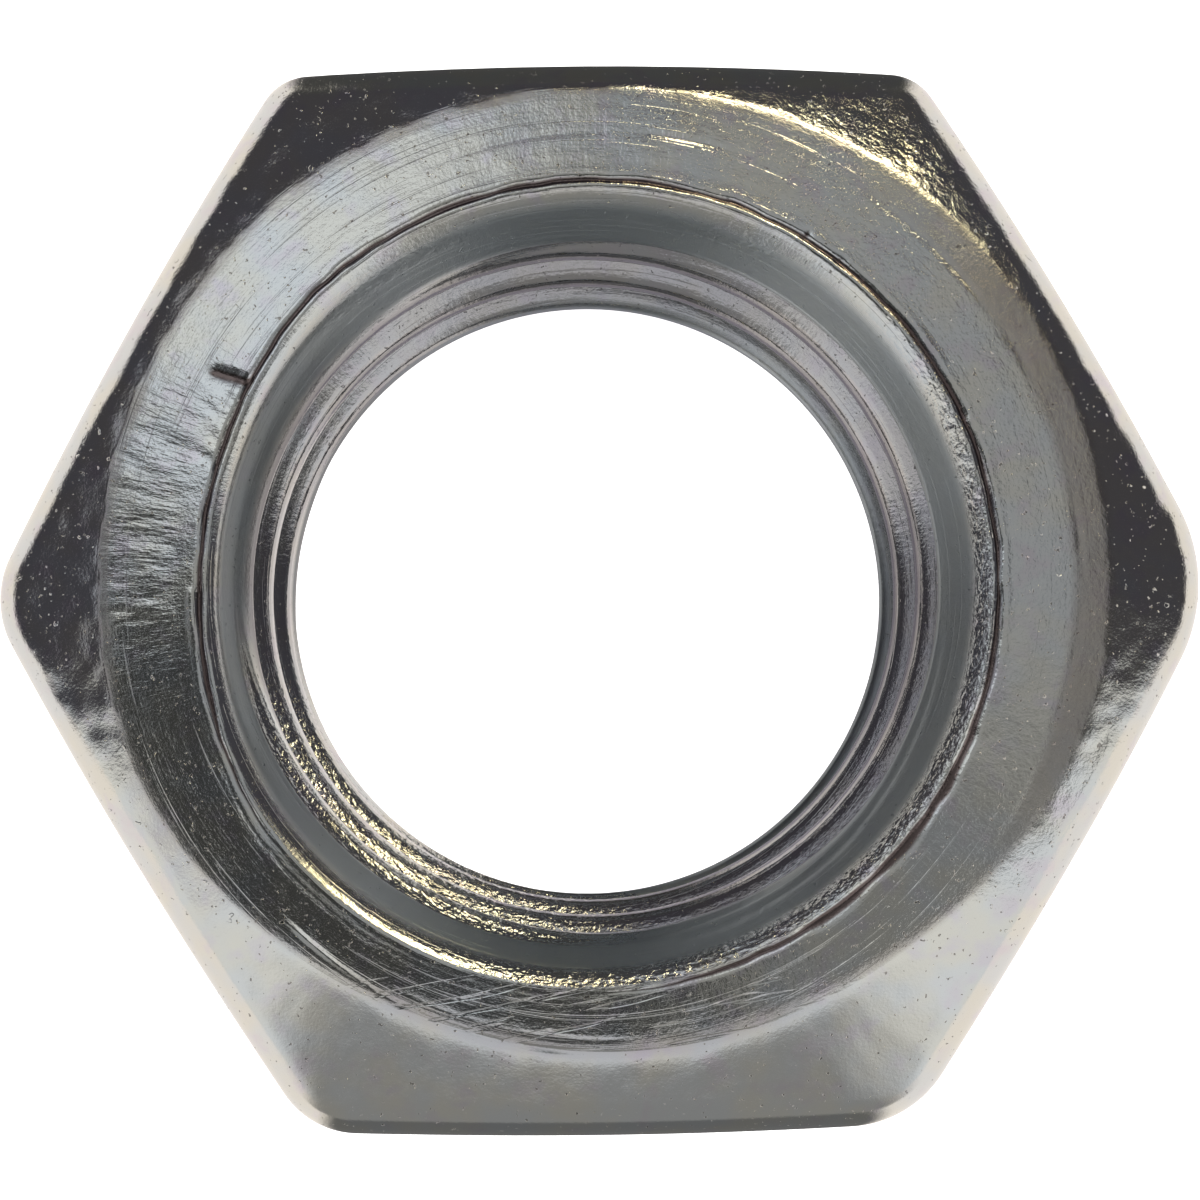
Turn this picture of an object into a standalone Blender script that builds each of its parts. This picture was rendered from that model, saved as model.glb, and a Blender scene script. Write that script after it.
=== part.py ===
"""Thin hexagon nut, M10 x 1, 14 mm across flats, 3.5 mm high.

The nut lies flat with its thread axis on world Z. The rear bearing face is on z = 0,
the front bearing face on z = HEIGHT, and two opposite corners point along +X and -X.
"""

from math import cos, pi, radians, sin, tan

import bmesh
import bpy

# Driving dimensions, in metres.
ACROSS_FLATS = 0.0140
HEIGHT = 0.0035
BEARING_DIAMETER = 0.0126
CHAMFER_ANGLE = radians(12)
MAJOR_DIAMETER = 0.0100
PITCH = 0.0010
SINK_MOUTH_DIAMETER = 0.0103
SINK_ANGLE = radians(90)

# Each forged outer edge is rounded off over this much of both faces that meet in it.
EDGE_ROUNDING = 0.00066
EDGE_STEPS = 8

# Sizes of the ISO internal thread, from its pitch.
THREAD_DEPTH = 0.54127 * PITCH
ROOT_FLAT = PITCH / 8
CREST_FLAT = PITCH / 4
MAJOR_RADIUS = MAJOR_DIAMETER / 2
MINOR_RADIUS = MAJOR_RADIUS - THREAD_DEPTH

# How finely round shapes are divided, and how far a cutter reaches past the face it cuts.
ROUND_STEPS = 72
CUTTER_REACH = 0.0005

# Edges of the forged bar sharper than the first angle are rounded off. In the finished nut,
# edges sharper than the second one are drawn sharp.
ROUNDED_ABOVE = radians(30)
SHARP_ABOVE = radians(11)


def clear_scene():
    for item in list(bpy.data.objects):
        bpy.data.objects.remove(item, do_unlink=True)


def add_object(name, bm):
    """Make a named object in the scene from a bmesh, with its faces pointing out."""
    bmesh.ops.recalc_face_normals(bm, faces=bm.faces)
    mesh = bpy.data.meshes.new(name)
    bm.to_mesh(mesh)
    bm.free()
    item = bpy.data.objects.new(name, mesh)
    bpy.context.scene.collection.objects.link(item)
    return item


def add_cutter(name, bm):
    """A solid that only shapes the nut, and isn't a piece of it."""
    item = add_object(name, bm)
    item.hide_render = True
    item.display_type = "WIRE"
    return item


def turned_solid(profile, steps=ROUND_STEPS, first_step=0.5):
    """A solid of revolution about Z, from (radius, z) pairs listed from bottom to top.

    Round solids start half a step away from +X, so that their ridges miss the bar's corners
    and the edges of the thread, which start on +X.
    """
    bm = bmesh.new()
    rings = []
    for radius, z in profile:
        angles = [2 * pi * (i + first_step) / steps for i in range(steps)]
        rings.append([bm.verts.new((radius * cos(a), radius * sin(a), z)) for a in angles])
    for lower, upper in zip(rings, rings[1:]):
        for i in range(steps):
            j = (i + 1) % steps
            bm.faces.new((lower[i], lower[j], upper[j], upper[i]))
    bm.faces.new(rings[0])
    bm.faces.new(rings[-1])
    return bm


def hexagonal_bar():
    """The bar that the nut is made from, with corners along +X and -X."""
    corner_radius = ACROSS_FLATS / 2 / cos(pi / 6)
    return turned_solid([(corner_radius, 0), (corner_radius, HEIGHT)], steps=6, first_step=0)


def chamfer_envelope():
    """A double cone that leaves a round bearing face on each side of the nut."""
    bearing_radius = BEARING_DIAMETER / 2
    waist_radius = bearing_radius + HEIGHT / 2 / tan(CHAMFER_ANGLE)
    return turned_solid([(bearing_radius, 0), (waist_radius, HEIGHT / 2), (bearing_radius, HEIGHT)])


def countersink(face_z, outward):
    """The cone that opens the bore towards one face; outward is +1 or -1 along Z."""
    slope = tan(SINK_ANGLE / 2)
    mouth_radius = SINK_MOUTH_DIAMETER / 2
    tip_radius = MINOR_RADIUS - THREAD_DEPTH / 2
    wide = (mouth_radius + slope * CUTTER_REACH, face_z + outward * CUTTER_REACH)
    narrow = (tip_radius, face_z - outward * (mouth_radius - tip_radius) / slope)
    return turned_solid([narrow, wide] if outward > 0 else [wide, narrow])


def thread_tap():
    """The solid core of a tap: a right-hand thread that rises one pitch in each turn.

    Each step around the axis holds one pitch of the profile. Its last point is the first
    point of the step one turn later.
    """
    flank = (PITCH - ROOT_FLAT - CREST_FLAT) / 2
    profile = [(MINOR_RADIUS, 0),
               (MINOR_RADIUS, CREST_FLAT),
               (MAJOR_RADIUS, CREST_FLAT + flank),
               (MAJOR_RADIUS, CREST_FLAT + flank + ROOT_FLAT)]
    start_z = -CUTTER_REACH - PITCH
    turns = round((HEIGHT + 2 * CUTTER_REACH) / PITCH) + 2
    steps = turns * ROUND_STEPS

    bm = bmesh.new()
    columns = []
    for i in range(steps + 1):
        angle = 2 * pi * i / ROUND_STEPS
        lead = start_z + PITCH * i / ROUND_STEPS
        columns.append([bm.verts.new((radius * cos(angle), radius * sin(angle), lead + rise))
                        for radius, rise in profile])
    for i in range(steps - ROUND_STEPS):
        near = columns[i] + [columns[i + ROUND_STEPS][0]]
        far = columns[i + 1] + [columns[i + 1 + ROUND_STEPS][0]]
        for k in range(len(profile)):
            bm.faces.new((near[k], far[k], far[k + 1], near[k + 1]))

    close_thread_end(bm, columns[:ROUND_STEPS + 1], start_z)
    close_thread_end(bm, columns[-ROUND_STEPS - 1:], start_z + PITCH * turns)
    unused = [vertex for vertex in bm.verts if not vertex.link_faces]
    bmesh.ops.delete(bm, geom=unused, context="VERTS")
    return bm


def close_thread_end(bm, columns, centre_z):
    """Close one end of the tap by a fan to the axis, over a full turn and the step in it."""
    centre = bm.verts.new((0, 0, centre_z))
    rim = [column[0] for column in columns] + columns[0][:0:-1] + [columns[0][0]]
    for vertex, following in zip(rim, rim[1:]):
        bm.faces.new((centre, vertex, following))


def apply_boolean(item, operation, cutter):
    modifier = item.modifiers.new(f"{operation.title()} {cutter.name}", "BOOLEAN")
    modifier.operation = operation
    modifier.solver = "EXACT"
    modifier.object = cutter


def round_forged_edges(item):
    modifier = item.modifiers.new("Forged edges", "BEVEL")
    modifier.limit_method = "ANGLE"
    modifier.angle_limit = ROUNDED_ABOVE
    modifier.width = EDGE_ROUNDING
    modifier.segments = EDGE_STEPS
    modifier.use_clamp_overlap = False


def settle_shape(item):
    """Turn the object's modifiers into its mesh, smooth across round stretches only."""
    depsgraph = bpy.context.evaluated_depsgraph_get()
    shape = bpy.data.meshes.new_from_object(item.evaluated_get(depsgraph))
    item.modifiers.clear()
    item.data = shape
    shape.shade_smooth()
    shape.set_sharp_from_angle(angle=SHARP_ABOVE)


def zinc_plated_steel():
    material = bpy.data.materials.new("zinc_plated_steel")
    material.use_nodes = True
    shader = material.node_tree.nodes["Principled BSDF"]
    shader.inputs["Base Color"].default_value = (0.52, 0.54, 0.55, 1.0)
    shader.inputs["Metallic"].default_value = 1.0
    shader.inputs["Roughness"].default_value = 0.32
    return material


def build_nut():
    nut = add_object("hex_nut", hexagonal_bar())
    nut.data.materials.append(zinc_plated_steel())
    apply_boolean(nut, "INTERSECT", add_cutter("chamfer_envelope", chamfer_envelope()))
    round_forged_edges(nut)
    apply_boolean(nut, "DIFFERENCE", add_cutter("rear_countersink", countersink(0, -1)))
    apply_boolean(nut, "DIFFERENCE", add_cutter("front_countersink", countersink(HEIGHT, 1)))
    apply_boolean(nut, "DIFFERENCE", add_cutter("thread_tap", thread_tap()))
    settle_shape(nut)


clear_scene()
build_nut()
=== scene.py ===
"""Looks of a thin, zinc-plated hexagon nut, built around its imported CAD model.

One closed mesh stands for the nut. Its cross-section is a loop of rows that runs outward over
the front face, down the wrench flats, inward over the rear face and up the threaded bore.
Each row has one point for every column round the thread axis. Each point also carries its
share of every zone in ZONES, and the material reads those. Lengths are in metres, unless a
comment says millimetres.
"""

from math import cos, pi, radians, sin, tan

import bpy
import numpy as np
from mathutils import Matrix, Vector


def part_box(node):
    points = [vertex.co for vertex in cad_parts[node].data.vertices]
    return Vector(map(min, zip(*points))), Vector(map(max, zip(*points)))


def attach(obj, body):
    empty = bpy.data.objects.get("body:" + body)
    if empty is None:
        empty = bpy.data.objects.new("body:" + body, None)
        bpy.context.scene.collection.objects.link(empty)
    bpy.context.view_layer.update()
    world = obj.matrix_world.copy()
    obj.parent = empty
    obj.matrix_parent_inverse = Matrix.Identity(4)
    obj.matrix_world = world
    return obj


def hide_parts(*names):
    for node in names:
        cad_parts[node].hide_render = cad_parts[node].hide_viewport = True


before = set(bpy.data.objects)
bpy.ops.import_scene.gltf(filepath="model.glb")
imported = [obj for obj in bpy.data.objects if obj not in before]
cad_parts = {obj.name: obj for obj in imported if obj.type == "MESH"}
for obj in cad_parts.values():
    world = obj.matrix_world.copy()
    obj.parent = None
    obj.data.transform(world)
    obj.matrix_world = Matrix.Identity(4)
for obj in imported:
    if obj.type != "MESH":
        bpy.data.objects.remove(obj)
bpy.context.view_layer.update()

MM = 0.001

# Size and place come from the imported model; the thread is the same M10 x 1 as in it.
LOW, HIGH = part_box("hex_nut")
REAR_Z, FRONT_Z = LOW.z, HIGH.z
MIDDLE_Z = REAR_Z + (FRONT_Z - REAR_Z) / 2
FLAT_DISTANCE = HIGH.y
PITCH = 1.0 * MM
MAJOR_RADIUS = 5.0 * MM
MINOR_RADIUS = MAJOR_RADIUS - 0.54127 * PITCH

# The forged hexagon and the turned face sit a little off the thread axis.
HEXAGON_CENTRE = np.array((0.146, -0.151)) * MM
FACE_CENTRE = np.array((0.156, 0.006)) * MM
MOUTH_CENTRE = np.array((0.03, 0.0)) * MM

# Each side: its direction in degrees, how far it stands out, and the radius of the corner
# after it, both in millimetres.
SIDES = [(30.3, 0.14, 0.80), (89.4, -0.08, 0.80), (150.1, 0.10, 1.30),
         (210.2, 0.00, 1.20), (270.1, 0.05, 1.50), (330.0, 0.035, 2.10)]

BEARING_RADIUS = 6.33 * MM
CHAMFER_SLOPE = tan(radians(12))
CHAMFER_BLEND = 0.005 * MM
WORN_BLEND = 0.018 * MM
EDGE_RADIUS = 0.74 * MM
EDGE_GAP = 0.04 * MM

# The countersink: its mouth, the round lip that leads into its cone, where the thread starts,
# and the worn foot of the cone.
MOUTH_RADIUS = 5.03 * MM
REAR_MOUTH_RADIUS = 4.87 * MM
LIP_RADIUS = 0.60 * MM
LIP_START = radians(24)
SINK_TILT = radians(60)
THREAD_START = 0.70 * MM
THREAD_PHASE = 0.22
WORN_DEPTH = 0.56 * MM
WORN_SLOPE = 2.0

# How many points there are round the axis, and rows in each part of the cross-section.
COLUMNS = 600
GROOVE_ROWS, FACE_ROWS, CHAMFER_ROWS, EDGE_ROWS = 12, 30, 12, 16
REAR_CHAMFER_ROWS, REAR_FACE_ROWS, LIP_ROWS, BORE_ROWS = 4, 8, 10, 66

# Stretches round the axis, each (amount, middle, half width, softness of its ends). The last
# three are in degrees; +X is at 0 and +Y at 90.
FACE_SHORTER = ((0.50, 274, 50, 30), (0.09, 92, 26, 16))        # millimetres
MOUTH_NARROWER = ((0.13, 170, 26, 20), (-0.07, 240, 34, 20))    # millimetres
CHAMFER_WORN = ((1, 275, 40, 25),)
SKIN_SMOOTHER = ((-0.9, 270, 62, 16), (-0.6, 54, 28, 14))
GROOVE_OPEN = ((1, 318, 20, 14),)
GROOVE_WEAKER = ((-0.8, 245, 34, 20),)
BURR_HIGHER = ((0.003, 235, 36, 14),)                           # millimetres
CALM = ((1, 14, 56, 16),)
STAINED_SIDE = ((1, 8, 38, 14),)
TORN_CHAMFER = ((0.07, 74, 22, 12),)
TORN_THREAD = ((1, 236, 34, 22),)
TORN_THREAD_LESS = ((-0.5, 229, 12, 8),)
SPARKLING_LIP = ((1, 68, 9, 5), (1, 124, 14, 6))
TORN_LIP = ((0.9, 324, 74, 14),)
THREAD_RUN_OUT = ((1, 305, 40, 16),)
SINK_WORN = ((1, 229, 36, 16),)
# How much darker or lighter the painted shade on the countersink is, round the axis.
SINK_DARKER = ((0.45, 172, 34, 20), (-0.50, 264, 32, 16),
               (-0.35, 84, 40, 20), (0.3, 330, 36, 16))
# Where the painted shade on the thread crests is left off, partly or wholly.
SECOND_CREST_BRIGHT = ((0.9, 205, 62, 16),)
CRESTS_BRIGHTER = ((0.4, 80, 60, 16), (0.7, 286, 44, 22))

# Chatter marks of the tool: strength, then middle, half width and softness of the stretch in
# degrees, and the outer radius in millimetres.
CHATTER = ((1, 172, 20, 12, 6.1), (0.5, 68, 16, 10, 5.9))
# Turned grooves part of the way round: radius and depth in millimetres, then middle and half
# width of the stretch in degrees.
TURNED_GROOVES = ((5.92, 0.005, 10, 42), (5.66, 0.007, 92, 20),
                  (5.84, 0.009, 244, 22), (5.70, 0.006, 270, 24))
# The gash, and the fine lines and nicks beside the mouth: angle in degrees, and how far they
# reach out from the groove in millimetres.
GASH_ANGLE, GASH_REACH = 149.6, (0.42, 0.62)
FINE_LINES = ((151.8, 0.42), (153.2, 0.30), (154.8, 0.46), (158.0, 0.24), (161.0, 0.40))
NICKS = ((58, 0.16), (52, 0.12), (24, 0.10))
# A small patch of torn metal on the chamfer.
PATCH_PLACE = np.array((4.18, 5.24)) * MM
PATCH_RADIUS = 0.28 * MM

# Of these zones, the one for the thread crests and the one for the countersink's darkness round
# the axis carry painted shade. The one for the mouth groove and gash carries dirt and painted
# shade.
ZONES = ("dirt", "forged", "sink", "thread", "torn",
         "chatter", "stain", "calm", "deep_sink", "dull")
RANDOM = np.random.default_rng(11)


# ---- small mathematics -------------------------------------------------------------------

def softplus(value):
    """A ramp with a rounded start: 0 far below zero, and value far above it."""
    return np.logaddexp(0, value)


def smoothstep(low, high, value):
    share = np.clip((value - low) / (high - low), 0, 1)
    return share * share * (3 - 2 * share)


def window(value, low, high, soft):
    """1 between low and high, 0 outside, with soft edges."""
    rise = smoothstep(low - soft, low + soft, value)
    return rise * (1 - smoothstep(high - soft, high + soft, value))


def arc_window(angle, middle, half, soft):
    """The same along an angle: 1 within half of the middle, all in degrees."""
    away = np.abs((np.degrees(angle) - middle + 180) % 360 - 180)
    return 1 - smoothstep(half - soft, half + soft, away)


def around(angle, base, stretches):
    """A value that changes round the axis: base, plus an amount on each stretch."""
    for amount, middle, half, soft in stretches:
        base = base + amount * arc_window(angle, middle, half, soft)
    return base


def soft_line(away, width):
    """1 in the middle of a line, and next to nothing at twice its width."""
    return np.exp(-(away / width) ** 2)


def polar(plan, centre):
    """Angle, and distance in millimetres, from a centre."""
    x, y = (plan - centre).T / MM
    return np.arctan2(y, x), np.hypot(x, y)


def make_noise(cells=64):
    """A smooth random height field over the plane, from -1 to 1, one feature per unit."""
    table = RANDOM.uniform(-1, 1, (cells, cells))

    def noise(x, y):
        x, y = np.broadcast_arrays(x, y)
        left, down = np.floor(x).astype(int), np.floor(y).astype(int)
        along, up = x - left, y - down
        along, up = along * along * (3 - 2 * along), up * up * (3 - 2 * up)
        corner = [[table[(left + i) % cells, (down + j) % cells] for j in (0, 1)] for i in (0, 1)]
        near = corner[0][0] * (1 - up) + corner[0][1] * up
        far = corner[1][0] * (1 - up) + corner[1][1] * up
        return near * (1 - along) + far * along

    return noise


NOISES = [make_noise() for _ in range(6)]


# ---- the nut's shape -----------------------------------------------------------------------

def hexagon_outline(angles):
    """For each angle round the hexagon's centre: a point of its outline, and the normal there."""
    turns = [radians(turn) for turn, _, _ in SIDES]
    stands = [FLAT_DISTANCE + out * MM for _, out, _ in SIDES]
    arcs = []
    for k in range(6):
        after = (k + 1) % 6
        radius = SIDES[k][2] * MM
        end = turns[after] + (2 * pi if after == 0 else 0)
        normals = np.array([[cos(turns[k]), sin(turns[k])], [cos(end), sin(end)]])
        centre = np.linalg.solve(normals, [stands[k] - radius, stands[after] - radius])
        arcs.append((centre, radius, np.linspace(turns[k], end, 40)))
    points, facings = [], []
    for k, (centre, radius, facing) in enumerate(arcs):
        arc = centre + radius * np.stack((np.cos(facing), np.sin(facing)), 1)
        following = arcs[(k + 1) % 6]
        start = following[0] + following[1] * np.array((cos(facing[-1]), sin(facing[-1])))
        share = np.linspace(0, 1, 80)[1:-1, None]
        points += [arc, arc[-1] + (start - arc[-1]) * share]
        facings += [facing, np.full(len(share), facing[-1])]
    points, facings = np.concatenate(points), np.concatenate(facings)
    azimuth = np.unwrap(np.arctan2(points[:, 1], points[:, 0]))
    distance = np.interp(angles, azimuth, np.hypot(*points.T), period=2 * pi)
    facing = angles + np.interp(angles, azimuth, facings - azimuth, period=2 * pi)
    outline = distance[:, None] * np.stack((np.cos(angles), np.sin(angles)), 1)
    return outline + HEXAGON_CENTRE, np.stack((np.cos(facing), np.sin(facing)), 1)


def bearing_radius(angle):
    """The turned face reaches less far out towards -Y, and a little less towards +Y."""
    return BEARING_RADIUS - MM * around(angle, 0, FACE_SHORTER)


def mouth_dent(angle):
    """How much nearer to the axis the mouth lies towards -X; it is wider towards -Y."""
    return MM * around(angle, 0, MOUTH_NARROWER)


def cone_drop(plan):
    """How far the forged chamfer's cone lies below the bearing face; it is above it inside."""
    x, y = (plan - FACE_CENTRE).T
    return CHAMFER_SLOPE * (np.hypot(x, y) - bearing_radius(np.arctan2(y, x)))


def turned_flat(drop, angles):
    """The turned face cuts off whatever of the forging stands above it, softly towards -Y."""
    blend = CHAMFER_BLEND + WORN_BLEND * around(angles, 0, CHAMFER_WORN)
    return blend * softplus(drop / blend)


def forged_skin(plan):
    """The rough skin of the forging, as a height; smoother towards -Y and between +X and +Y."""
    x, y = plan.T / MM
    rough = around(np.arctan2(y, x), 1, SKIN_SMOOTHER)
    return rough * (0.006 * NOISES[3](x * 4, y * 4) + 0.004 * NOISES[0](x * 7, y * 7)) * MM


def crest_distance(angle, z):
    """How far along the axis the nearest thread crest is, in pitches: from 0 to 0.5."""
    turn = (z / PITCH - angle / (2 * pi) + THREAD_PHASE) % 1
    return np.abs(turn - 0.5)


def thread_radius(angle, z):
    """The right-hand internal thread, its crests and roots slightly rounded."""
    crest_half, flank, soft = 0.13, 0.28, 0.07
    share = (crest_distance(angle, z) - crest_half) / flank
    rise = soft * (softplus(share / soft) - softplus((share - 1) / soft))
    return MINOR_RADIUS + (MAJOR_RADIUS - MINOR_RADIUS) * rise


def lip_profile(rows):
    """Depth and radius down the lip of a countersink, from its mouth to its cone."""
    tilt = np.linspace(LIP_START, SINK_TILT, rows)
    radius = MOUTH_RADIUS - LIP_RADIUS * (np.sin(tilt) - sin(LIP_START))
    depth = LIP_RADIUS * (cos(LIP_START) - np.cos(tilt))
    return depth, radius


def edge_rows(outline, facing, rows):
    """The rounded edge between the chamfer and the wrench flats: plan points and drops."""
    inner = outline - EDGE_RADIUS * facing
    radial = inner - FACE_CENTRE
    radial /= np.hypot(*radial.T)[:, None]
    tilt = np.arctan(CHAMFER_SLOPE)
    centre_drop = cone_drop(inner + EDGE_RADIUS * sin(tilt) * radial) + EDGE_RADIUS * cos(tilt)
    first = np.column_stack((radial * sin(tilt), np.full(len(facing), cos(tilt))))
    last = np.column_stack((facing, np.zeros(len(facing))))
    spread = np.arccos((first * last).sum(1))[:, None]
    made = []
    for share in np.linspace(0, 1, rows):
        direction = first * np.sin((1 - share) * spread) + last * np.sin(share * spread)
        direction = direction / np.sin(spread)
        drop = centre_drop - EDGE_RADIUS * direction[:, 2]
        made.append((inner + EDGE_RADIUS * direction[:, :2], drop))
    return made


# ---- marks on the front face, all in millimetres ---------------------------------------------

def mouth_groove(angle, radius, turn):
    """A ragged groove round the mouth, with a burr outside it.

    It gives the height, the groove as a share, and the distance outward from the groove.
    """
    open_side = around(angle, 0, GROOVE_OPEN)
    strong = np.clip(around(angle, 1, GROOVE_WEAKER) + open_side, 0, 1)
    wander = 0.018 * NOISES[0](turn / 4, 0.5) + 0.014 * NOISES[1](turn * 2.2, 0.5)
    width = (0.032 + 0.050 * open_side) * (1 + 0.5 * NOISES[2](turn * 1.3, 0.5))
    depth = 0.034 * strong * (1 + 0.6 * NOISES[3](turn / 2, 0.5))
    from_groove = radius - (MOUTH_RADIUS - mouth_dent(angle)) / MM - 0.04 - wander
    groove = strong * soft_line(from_groove, width)
    burr = around(angle, 0.006 * np.clip(0.3 + NOISES[4](turn / 2, 0.5), 0, 2), BURR_HIGHER)
    height = burr * soft_line(from_groove - 0.10, 0.05) - depth * groove
    return height, groove, from_groove


def gashes(angle, from_groove):
    """The gash with its fine lines towards -X +Y, and three small nicks, as a share."""
    lean = radians(2.5) * (from_groove - 0.25)
    share = arc_window(angle - lean, GASH_ANGLE, 0.7, 0.6)
    share = share * (1 - smoothstep(*GASH_REACH, from_groove))
    for middle, reach in FINE_LINES:
        line = arc_window(angle + lean, middle, 0.25, 0.5)
        share = share + 0.5 * line * (1 - smoothstep(0.6 * reach, reach, from_groove))
    for middle, reach in NICKS:
        nick = arc_window(angle, middle, 0.35, 0.6)
        share = share + nick * (1 - smoothstep(0.3 * reach, reach, from_groove))
    return share * smoothstep(-0.06, 0.02, from_groove)


def face_relief(plan):
    """The small marks on the front face and its chamfer: a height in metres, and zones."""
    x, y = plan.T / MM
    angle, radius = polar(plan, MOUTH_CENTRE)
    face_angle, face_radius = polar(plan, FACE_CENTRE)
    turn = angle / (2 * pi) * 64

    height, groove, from_groove = mouth_groove(angle, radius, turn)

    for groove_radius, deep, middle, half in TURNED_GROOVES:
        path = groove_radius + 0.05 * NOISES[5](turn / 4, groove_radius)
        line = soft_line(face_radius - path, 0.028) * arc_window(angle, middle, half, 8)
        broken = np.clip(0.7 + 1.2 * NOISES[1](turn, groove_radius), 0, 1.6)
        height -= deep * line * broken

    ridges = NOISES[0](turn * 5, radius * 2.5) + 0.6 * NOISES[1](turn * 9, radius * 4)
    chatter = 0
    for strength, middle, half, soft, outer in CHATTER:
        stretch = arc_window(angle, middle, half, soft)
        chatter = chatter + strength * stretch * window(radius, 5.3, outer, 0.12)
    height += 0.0045 * ridges * chatter

    # Unevenness of the whole surface, more of it on the forged chamfer.
    forged = smoothstep(6.2, 6.5, face_radius)
    height += 0.0028 * NOISES[2](x * 1.6, y * 1.6)
    height += (0.0012 + 0.0006 * forged) * NOISES[3](x * 5, y * 5)

    gash = gashes(angle, from_groove)
    height -= 0.020 * gash

    # A dull brownish band along the outer edge of the turned face, wide on the side towards +X.
    rim = bearing_radius(face_angle) / MM
    stain = window(face_radius, rim - 0.13, rim + 0.02, 0.03) * (0.6 + 0.4 * NOISES[5](turn, 0.5))
    wide = around(angle, 0, STAINED_SIDE) * window(face_radius, 5.88, rim + 0.02, 0.10)
    calm = around(angle, 0, CALM)
    # The groove and gash shares darken the colour: dirt, and painted shade in these hollows.
    return height * MM, {"dirt": np.maximum(groove, 0.9 * gash), "chatter": chatter,
                         "stain": np.maximum(stain, wide), "calm": calm, "torn": 0.12 * calm}


# ---- the mesh --------------------------------------------------------------------------------

class Rows:
    """The rows of points along the cross-section, each with its zones."""

    def __init__(self):
        self.points, self.zones = [], []

    def add(self, plan, z, **shares):
        count = len(plan)
        self.points.append(np.column_stack((plan, np.broadcast_to(z, count))))
        self.zones.append([np.broadcast_to(shares.get(zone, 0.0), count) for zone in ZONES])

    def make_object(self, name):
        points = np.array(self.points).reshape(-1, 3)
        lower = np.arange(len(points)).reshape(-1, COLUMNS)
        upper = np.roll(lower, -1, axis=0)
        quads = (lower, upper, np.roll(upper, -1, axis=1), np.roll(lower, -1, axis=1))
        quads = np.stack(quads, -1).reshape(-1, 4)
        mesh = bpy.data.meshes.new(name)
        mesh.from_pydata(points.tolist(), [], quads.tolist())
        zones = np.array(self.zones, np.float32)
        for place, zone in enumerate(ZONES):
            layer = mesh.attributes.new(zone, "FLOAT", "POINT")
            layer.data.foreach_set("value", zones[:, place].ravel())
        mesh.validate()
        mesh.shade_smooth()
        made = bpy.data.objects.new(name, mesh)
        bpy.context.scene.collection.objects.link(made)
        return made


def add_front(rows, angles, mouth, bearing, edge):
    """The front face, its chamfer and its rounded edge."""

    def add_top(plan):
        relief, shares = face_relief(plan)
        drop = cone_drop(plan) + forged_skin(plan)
        shares["forged"] = smoothstep(-0.003, 0.006, drop / MM)
        from_patch = np.hypot(*(plan.T - PATCH_PLACE[:, None])) / PATCH_RADIUS
        patchy = around(angles, 0.5 * np.exp(-from_patch ** 2), TORN_CHAMFER)
        shares["torn"] = shares["torn"] + shares["forged"] * patchy
        rows.add(plan, FRONT_Z - turned_flat(drop, angles) + relief, **shares)

    edge_start = edge[0][0]
    at_groove = np.linspace(0, 0.2, GROOVE_ROWS)[:-1]
    for share in np.concatenate((at_groove, np.linspace(0.2, 1, FACE_ROWS))):
        add_top(mouth + (bearing - mouth) * share)
    for share in np.linspace(0, 1, CHAMFER_ROWS)[1:] ** 1.4:
        add_top(bearing + (edge_start - bearing) * share)
    for share, (plan, drop) in zip(np.linspace(0, 1, len(edge))[1:], edge[1:]):
        skin = (1 - smoothstep(0.35, 0.75, share)) * forged_skin(plan)
        rows.add(plan, FRONT_Z - turned_flat(drop, angles) - skin, forged=1)


def add_flats_and_rear(rows, angles, rear_mouth, bearing, edge):
    """The wrench flats, and the rear side: its rounded edge, chamfer and face."""
    outline, edge_drop = edge[-1]
    top_side, rear_side = FRONT_Z - edge_drop, REAR_Z + edge_drop
    for share in (0.25, 0.5, 0.75):
        rows.add(outline, top_side + (rear_side - top_side) * share, forged=1)
    for plan, drop in edge[::-2]:
        rows.add(plan, REAR_Z + turned_flat(drop, angles), forged=1)
    edge_start = edge[0][0]
    for inner, outer, count in ((bearing, edge_start, REAR_CHAMFER_ROWS),
                                (rear_mouth, bearing, REAR_FACE_ROWS)):
        for share in np.linspace(1, 0, count)[1:]:
            plan = inner + (outer - inner) * share
            rows.add(plan, REAR_Z + turned_flat(cone_drop(plan), angles))


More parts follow.
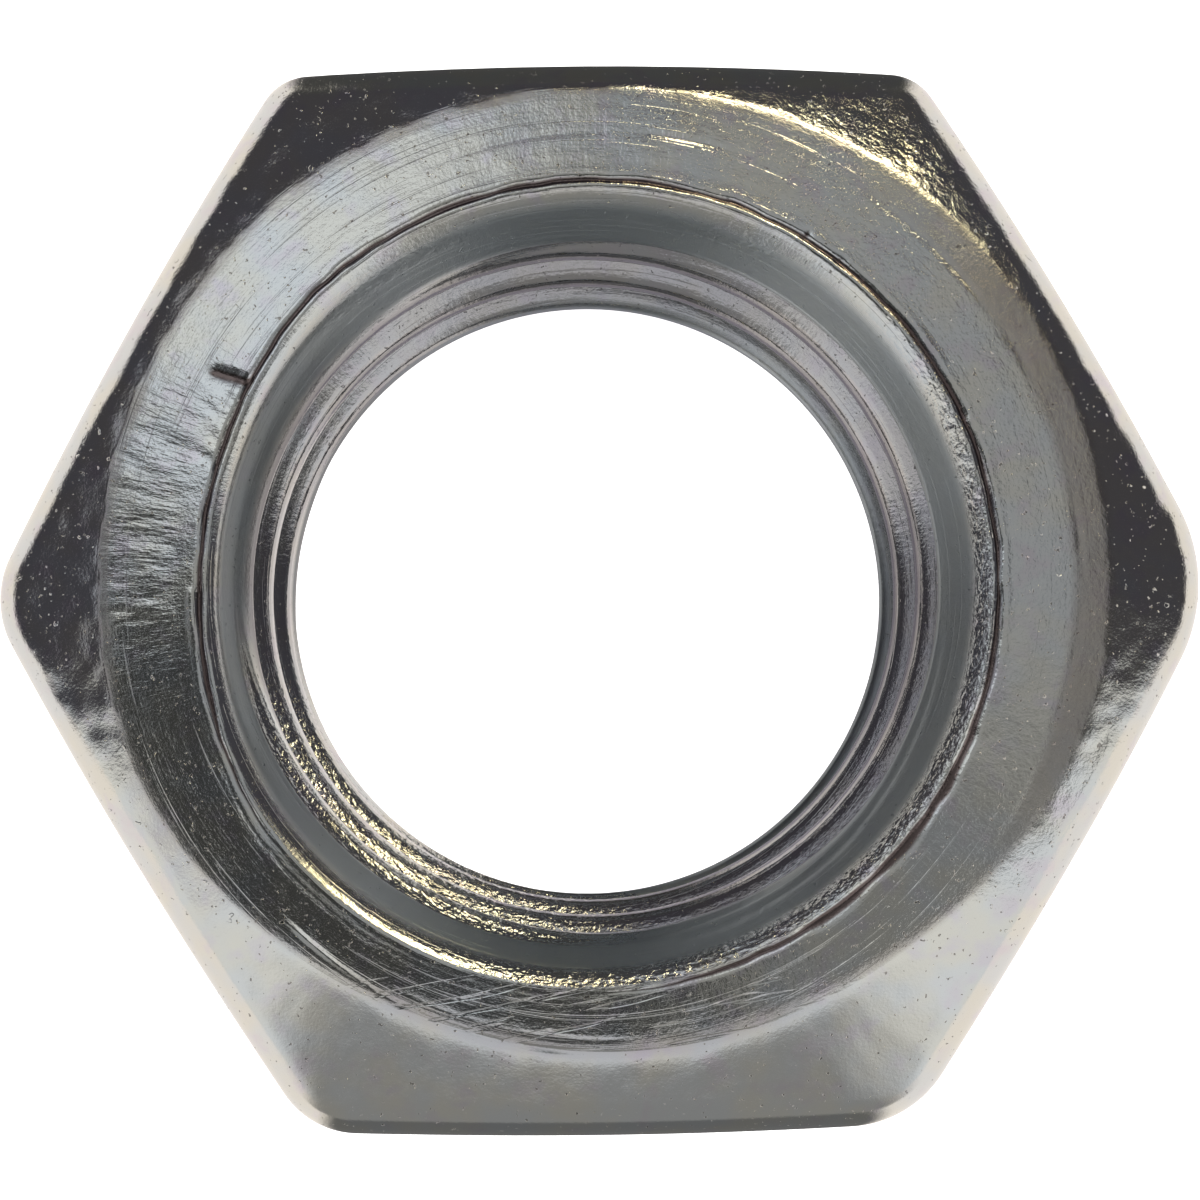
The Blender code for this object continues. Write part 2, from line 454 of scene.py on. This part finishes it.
def add_bore(rows, angles, ray):
    """The rear countersink, the thread and the front countersink."""
    depth, radius = lip_profile(LIP_ROWS)
    cone_start = depth[-1]
    between = np.linspace(REAR_Z + cone_start, FRONT_Z - cone_start, BORE_ROWS)[1:-1]
    z_levels = np.concatenate((REAR_Z + depth[1::2], between, FRONT_Z - depth[:0:-1]))

    turn = angles / (2 * pi) * COLUMNS
    torn_side = around(angles, 0, TORN_THREAD) * around(angles, 1, TORN_THREAD_LESS)
    worn_side = around(angles, 0, SINK_WORN)
    # How dark the countersink's painted shade is, round the axis.
    deep_sink = around(angles, 0.55, SINK_DARKER)
    for z in z_levels:
        below = min(FRONT_Z - z, z - REAR_Z)    # depth under the nearer face
        deep = (FRONT_Z - z) / MM               # depth under the front face, in millimetres
        lip_part = np.interp(below, depth, radius)
        cone_part = radius[-1] - (below - cone_start) / tan(SINK_TILT)
        cone = np.where(below < cone_start, lip_part, cone_part)
        if z < MIDDLE_Z:
            cone = cone - (MOUTH_RADIUS - REAR_MOUTH_RADIUS)
        else:
            # Towards -X -Y the foot of the front cone is worn to a flatter slope.
            worn = MINOR_RADIUS + max(WORN_SLOPE * (WORN_DEPTH - (FRONT_Z - z)), 0)
            cone = cone - worn_side * np.clip(cone - worn, 0, None)
        cut = smoothstep(-0.12, 0.12, (below - THREAD_START) / MM)
        thread = MINOR_RADIUS + cut * (thread_radius(angles, z) - MINOR_RADIUS)
        soft = 0.008 * MM
        distance = cone + soft * softplus((thread - cone) / soft)

        # Torn metal in the thread and on the lip, and the first thread's run-out in the cone.
        torn = torn_side * smoothstep(0.42, 0.50, deep) + 0.12 * cut
        torn = torn + 0.25 * around(angles, 0, SPARKLING_LIP) * window(deep, 0.08, 0.35, 0.05)
        torn = torn + around(angles, 0, TORN_LIP) * window(deep, -0.1, 0.14, 0.06)
        distance = distance + 0.004 * MM * torn * NOISES[3](turn / 1.7, deep * 14)
        ridge = np.sin(2 * pi * (deep / 0.17 - angles / (2 * pi) * 5))
        ridge = ridge + NOISES[0](turn / 20, deep * 3)
        run_out = around(angles, 0, THREAD_RUN_OUT) * window(deep, 0.36, 0.85, 0.08)
        distance = distance + 0.010 * MM * run_out * ridge

        # The mouth's own centre and dent fade out down the cone.
        near_mouth = 1 - smoothstep(0, 0.5, below / MM)
        distance = distance - mouth_dent(angles) * near_mouth

        # The first crest is painted dark as shade nearly all round, and the second one is left
        # bright towards -X.
        second = around(angles, 0, SECOND_CREST_BRIGHT) * smoothstep(0.9, 1.0, deep)
        bright = around(angles, second, CRESTS_BRIGHTER)
        on_crest = 1 - smoothstep(0.09, 0.14, crest_distance(angles, z))
        # The countersink's colour is painted shade, which fades in below the mouth.
        shaded = (1 - cut) * smoothstep(0.03, 0.22, below / MM)
        rows.add(MOUTH_CENTRE * near_mouth + distance[:, None] * ray, z,
                 sink=shaded * (1 - worn_side * smoothstep(0.44, 0.50, deep)),
                 thread=cut * (1 - 0.7 * worn_side), torn=torn, deep_sink=deep_sink,
                 dull=cut * on_crest * np.clip(1 - bright, 0, 1))


def build_nut():
    angles = np.arange(COLUMNS) * 2 * pi / COLUMNS
    ray = np.stack((np.cos(angles), np.sin(angles)), 1)
    outline, facing = hexagon_outline(angles)
    edge = edge_rows(outline, facing, EDGE_ROWS)
    mouth, rear_mouth = (MOUTH_CENTRE + (size - mouth_dent(angles))[:, None] * ray
                         for size in (MOUTH_RADIUS, REAR_MOUTH_RADIUS))

    # The turned face ends at its own radius, or just inside the rounded edge.
    away = edge[0][0] - FACE_CENTRE
    reach = np.hypot(*away.T)
    limit = np.minimum(bearing_radius(np.arctan2(away[:, 1], away[:, 0])), reach - EDGE_GAP)
    bearing = FACE_CENTRE + away * (limit / reach)[:, None]

    rows = Rows()
    add_front(rows, angles, mouth, bearing, edge)
    add_flats_and_rear(rows, angles, rear_mouth, bearing, edge)
    add_bore(rows, angles, ray)
    return rows.make_object("hex_nut_visual")


# ---- materials -------------------------------------------------------------------------------

class Value:
    """A number that the shader works out at each point. It takes part in sums as numbers do."""

    def __init__(self, graph, socket):
        self.graph, self.socket = graph, socket

    def __add__(self, other):
        return self.graph.math("ADD", self, other)

    def __sub__(self, other):
        return self.graph.math("SUBTRACT", self, other)

    def __rsub__(self, other):
        return self.graph.math("SUBTRACT", other, self)

    def __mul__(self, other):
        return self.graph.math("MULTIPLY", self, other)

    def __truediv__(self, other):
        return self.graph.math("DIVIDE", self, other)

    __radd__, __rmul__ = __add__, __mul__


class Graph:
    """Short calls for making shader nodes."""

    def __init__(self, tree):
        self.tree = tree

    def node(self, kind, **settings):
        node = self.tree.nodes.new(kind)
        for name, value in settings.items():
            setattr(node, name, value)
        return node

    def put(self, socket, value):
        """Set a socket to a number or colour, or link it."""
        if isinstance(value, Value):
            value = value.socket
        if isinstance(value, bpy.types.NodeSocket):
            self.tree.links.new(value, socket)
        else:
            socket.default_value = value

    def math(self, operation, *values, clamp=False):
        node = self.node("ShaderNodeMath", operation=operation, use_clamp=clamp)
        for socket, value in zip(node.inputs, values):
            self.put(socket, value)
        return Value(self, node.outputs[0])

    def rest_of(self, share):
        """What a share leaves of 1, and never less than 0."""
        return self.math("SUBTRACT", 1.0, share, clamp=True)

    def split(self, vector):
        node = self.node("ShaderNodeSeparateXYZ")
        self.put(node.inputs[0], vector)
        return [Value(self, output) for output in node.outputs]

    def join(self, *values):
        node = self.node("ShaderNodeCombineXYZ")
        for socket, value in zip(node.inputs, values):
            self.put(socket, value)
        return node.outputs[0]

    def fade(self, value, low, high):
        """0 below low and 1 above high, smoothly; downwards if low is above high."""
        node = self.node("ShaderNodeMapRange", interpolation_type="SMOOTHSTEP")
        turned = low > high
        self.put(node.inputs["Value"], value)
        self.put(node.inputs["From Min"], min(low, high))
        self.put(node.inputs["From Max"], max(low, high))
        self.put(node.inputs["To Min"], 1.0 if turned else 0.0)
        self.put(node.inputs["To Max"], 0.0 if turned else 1.0)
        return Value(self, node.outputs["Result"])

    def mix(self, share, first, second):
        node = self.node("ShaderNodeMix", data_type="RGBA")
        self.put(node.inputs["Factor"], share)
        for name, value in (("A", first), ("B", second)):
            self.put(node.inputs[name], (*value, 1) if isinstance(value, tuple) else value)
        return node.outputs["Result"]

    def noise(self, place, scale, detail, roughness=0.5):
        node = self.node("ShaderNodeTexNoise", noise_dimensions="3D")
        self.put(node.inputs["Vector"], place)
        self.put(node.inputs["Scale"], scale)
        self.put(node.inputs["Detail"], detail)
        self.put(node.inputs["Roughness"], roughness)
        return Value(self, node.outputs["Fac"])

    def attribute(self, name):
        return Value(self, self.node("ShaderNodeAttribute", attribute_name=name).outputs["Fac"])


def new_material(name):
    material = bpy.data.materials.new(name)
    material.use_nodes = True
    return material, Graph(material.node_tree), material.node_tree.nodes["Principled BSDF"]


def plated_steel():
    """Bright zinc over turned, forged and tapped steel. Lengths inside are in millimetres."""
    material, graph, shader = new_material("zinc_plated_steel_look")
    noise, fade, mix = graph.noise, graph.fade, graph.mix

    scaled = graph.node("ShaderNodeVectorMath", operation="SCALE")
    graph.put(scaled.inputs[0], graph.node("ShaderNodeTexCoord").outputs["Object"])
    graph.put(scaled.inputs["Scale"], 1 / MM)
    place = scaled.outputs[0]
    x, y, z = graph.split(place)
    radius = graph.math("SQRT", x * x + y * y)
    one_turn = 6.28

    def wrapped(per_turn, per_mm):
        """A place that changes slowly or fast round the axis and outward from it."""
        scale = per_turn / one_turn
        return graph.join(x / radius * scale, y / radius * scale, (radius + z) * per_mm)

    (dirt, forged, sink, thread, torn,
     chatter, stain, calm, deep_sink, dull) = map(graph.attribute, ZONES)
    turned = graph.rest_of(forged)
    combed = turned * (1.0 - calm * 0.75)
    low_face = turned * fade(y, -4.7, -5.3)
    low_chamfer = forged * fade(y, -3.5, -5.0)

    grain = noise(place, 26, 3, 0.6)
    coarse = noise(place, 6, 2)
    turning = noise(wrapped(14, 9), 1.0, 4, 0.75)
    brushing = noise(wrapped(520, 2.5), 1.0, 3, 0.6)
    facets = noise(wrapped(320, 13), 1.0, 1, 0.5)
    scratches = fade(noise(wrapped(9, 17), 1.0, 2, 0.5), 0.60, 0.68)
    pits = fade(noise(place, 15, 2), 0.69, 0.74)
    glints = fade(noise(place, 10, 1), 0.72, 0.78)
    glints = glints * (forged * 0.3 + calm) * graph.rest_of(low_chamfer)
    # Long, slanting scratches on the lower part of the turned face.
    slant = radians(-11)
    across, along = x * sin(slant) + y * cos(slant), x * cos(slant) - y * sin(slant)
    slanting = fade(noise(graph.join(across * 9.0, along * 0.7), 1.0, 1, 0.4), 0.58, 0.66)

    height = grain * (0.0024 - low_chamfer * 0.0016 + torn * 0.003)
    height += coarse * (0.0030 - low_chamfer * 0.0022)
    height += turning * combed * 0.0030
    height += brushing * (turned * 0.0014 + chatter * 0.0055)
    height -= scratches * combed * 0.0013
    height -= slanting * low_face * 0.0045
    height -= pits * 0.0080
    height += facets * torn * 0.0190
    height += glints * 0.016
    bump = graph.node("ShaderNodeBump")
    graph.put(bump.inputs["Strength"], 1.0)
    graph.put(bump.inputs["Distance"], MM)
    graph.put(bump.inputs["Height"], height)
    graph.put(shader.inputs["Normal"], bump.outputs[0])

    # The zinc's own tints, then what lies on it or shades it: dirt and painted shade in the mouth
    # groove, and painted shade on the countersink and on the thread crests.
    bluish, yellowish, violet = (0.62, 0.65, 0.66), (0.66, 0.66, 0.61), (0.62, 0.60, 0.64)
    colour = mix(fade(noise(place, 1.3, 2), 0.35, 0.65), bluish, yellowish)
    colour = mix(fade(noise(place, 2.3, 3), 0.5, 0.75), colour, violet)
    # Painted shade on the countersink, darker or lighter round the axis.
    sink_shade_colour = mix(deep_sink, (0.42, 0.48, 0.52), (0.09, 0.11, 0.125))
    for share, tint in ((stain * 0.6, (0.36, 0.32, 0.29)),
                        (pits * 0.7, (0.20, 0.19, 0.18)),
                        (sink * 0.9, sink_shade_colour),
                        (thread * 0.55, (0.34, 0.335, 0.365)),
                        # Painted shade on the thread crests.
                        (dull * 0.95, (0.15, 0.145, 0.16)),
                        # Dirt, and painted shade, in the mouth groove and the gash.
                        (fade(dirt, 0.25, 0.75), (0.15, 0.12, 0.115))):
        colour = mix(share, colour, tint)
    graph.put(shader.inputs["Base Color"], colour)

    rough = 0.05 + noise(place, 9, 3) * 0.10
    rough += sink * graph.rest_of(torn) * 0.27
    rough += stain * 0.12
    graph.put(shader.inputs["Roughness"], rough)
    shader.inputs["Metallic"].default_value = 1.0
    return material


def floor_material():
    """Matt white. The ground right under the nut glows, so the bore shows white and not shaded."""
    material, graph, shader = new_material("floor_white")
    shader.inputs["Base Color"].default_value = (0.9, 0.9, 0.9, 1)
    shader.inputs["Roughness"].default_value = 0.9
    away = graph.node("ShaderNodeVectorMath", operation="LENGTH")
    graph.put(away.inputs[0], graph.node("ShaderNodeTexCoord").outputs["Object"])
    glow = graph.fade(away.outputs["Value"], 6 * MM, 5 * MM)
    shader.inputs["Emission Color"].default_value = (1, 1, 1, 1)
    graph.put(shader.inputs["Emission Strength"], glow)
    return material


# ---- surroundings ----------------------------------------------------------------------------

def grey(level, warm=0.0):
    """A grey of that level, tinted warm above zero and blue below it."""
    return (level * (1 + warm), level, level * (1 - warm))


SKY = grey(0.26, -0.10)
BACKDROP = grey(0.93)

# Patches of light on the sky, later ones over earlier ones: colour, zenith angles, azimuths or
# None for all round, and the softness of either, all in degrees.
SKY_PATCHES = (
    ((1.08, 1.00, 0.94), (64, 180), None, 2, 8),
    # Low down in front of the nut.
    ((0.40, 0.37, 0.41), (153, 180), (70, 344), 3, 8),
    (grey(0.16, 0.01), (76, 150), (244, 296), 4, 5),
    # Halfway up: bright in front of the nut, dark behind it down to the ground.
    ((0.066, 0.062, 0.070), (31, 78), (-10, 194), 3, 5),
    (grey(0.07, 0.01), (66, 150), (60, 112), 4, 6),
    (grey(0.90, 0.01), (29, 66), (193, 350), 4, 5),
    (grey(0.08, 0.02), (34, 46), (330, 366), 3, 6),
    (grey(0.29, 0.03), (41, 82), (234, 305), 3, 8),
    ((0.44, 0.43, 0.46), (34, 42), (88, 196), 2, 5),
    ((0.62, 0.60, 0.63), (34, 47), (200, 216), 3, 5),
    # Round the lens.
    (grey(0.36), (0, 29), None, 4, 8),
    (grey(0.92, -0.03), (12, 31), (96, 153), 3, 7),
    (grey(0.38, 0.01), (12, 31), (-12, 78), 4, 8),
    (grey(0.22, 0.01), (12, 30), (290, 350), 4, 8),
    (grey(0.05), (8, 27), (156, 236), 3, 4),
    (grey(0.05), (8, 24), (226, 296), 3, 5),
    ((0.66, 0.64, 0.66), (28, 39), (236, 304), 2, 6),
    # A warm lamp and its weaker end.
    ((2.4, 2.1, 1.4), (40, 45), (43, 54), 1, 3),
    ((13, 11.3, 7), (39, 45), (54, 80), 1, 4),
)


class World(Graph):
    """Soft studio light painted on the sky, patch over patch. Angles are in degrees."""

    def __init__(self, colour):
        world = bpy.data.worlds.new("studio")
        world.use_nodes = True
        bpy.context.scene.world = world
        super().__init__(world.node_tree)
        self.direction = self.node("ShaderNodeTexCoord").outputs["Generated"]
        up = self.split(self.direction)[2]
        self.zenith = self.math("DEGREES", self.math("ARCCOSINE", up))
        self.colour = colour

    def patch(self, colour, zenith, azimuth, soft, side_soft):
        """Paint one patch between two zenith angles and, if given, two azimuths."""
        low, high = zenith
        mask = self.fade(self.zenith, high + soft, high - soft)
        if low > 0:
            mask = mask * self.fade(self.zenith, low - soft, low + soft)
        if azimuth:
            middle, half = (azimuth[0] + azimuth[1]) / 2, (azimuth[1] - azimuth[0]) / 2
            turned = self.node("ShaderNodeVectorRotate", rotation_type="Z_AXIS")
            self.put(turned.inputs["Angle"], -radians(middle))
            self.put(turned.inputs["Vector"], self.direction)
            ahead, aside, _ = self.split(turned.outputs[0])
            away = self.math("ABSOLUTE", self.math("ARCTAN2", aside, ahead))
            away = self.math("DEGREES", away)
            mask = mask * self.fade(away, half + side_soft, half - side_soft)
        self.colour = self.mix(mask, self.colour, colour)

    def finish(self, plain):
        """What is seen directly is a plain backdrop; the patches show in reflections and light."""
        seen = self.node("ShaderNodeLightPath").outputs["Is Camera Ray"]
        background = self.tree.nodes["Background"]
        self.put(background.inputs["Color"], self.mix(seen, self.colour, plain))


def light_scene():
    world = World(SKY)
    for patch in SKY_PATCHES:
        world.patch(*patch)
    world.finish(BACKDROP)

    lamp = bpy.data.lights.new("overhead", "SUN")
    lamp.energy = 6
    lamp.angle = radians(50)
    lamp_object = bpy.data.objects.new("overhead", lamp)
    lamp_object.visible_glossy = False
    bpy.context.scene.collection.objects.link(lamp_object)


def add_floor():
    half = 0.5
    corners = [(-half, -half), (half, -half), (half, half), (-half, half)]
    mesh = bpy.data.meshes.new("floor")
    mesh.from_pydata([(x, y, REAR_Z) for x, y in corners], [], [(0, 1, 2, 3)])
    mesh.materials.append(floor_material())
    floor = bpy.data.objects.new("floor", mesh)
    bpy.context.scene.collection.objects.link(floor)
    floor.visible_glossy = False


def add_camera():
    """Close over the nut, looking straight down, with the frame shifted as in the photo."""
    data = bpy.data.cameras.new("camera")
    data.sensor_width = 36
    data.lens = 32.4
    data.shift_x, data.shift_y = 0.028, 0.064
    data.clip_start = 1 * MM
    camera = bpy.data.objects.new("camera", data)
    camera.location = (-0.33 * MM, -1.15 * MM, FRONT_Z + 13.5 * MM)
    camera.rotation_euler = (0, 0, radians(-0.72))
    bpy.context.scene.collection.objects.link(camera)
    bpy.context.scene.camera = camera


nut = build_nut()
nut.data.materials.append(plated_steel())
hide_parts("hex_nut")
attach(nut, "root")

add_floor()
light_scene()
add_camera()
bpy.context.scene.view_settings.view_transform = "Standard"
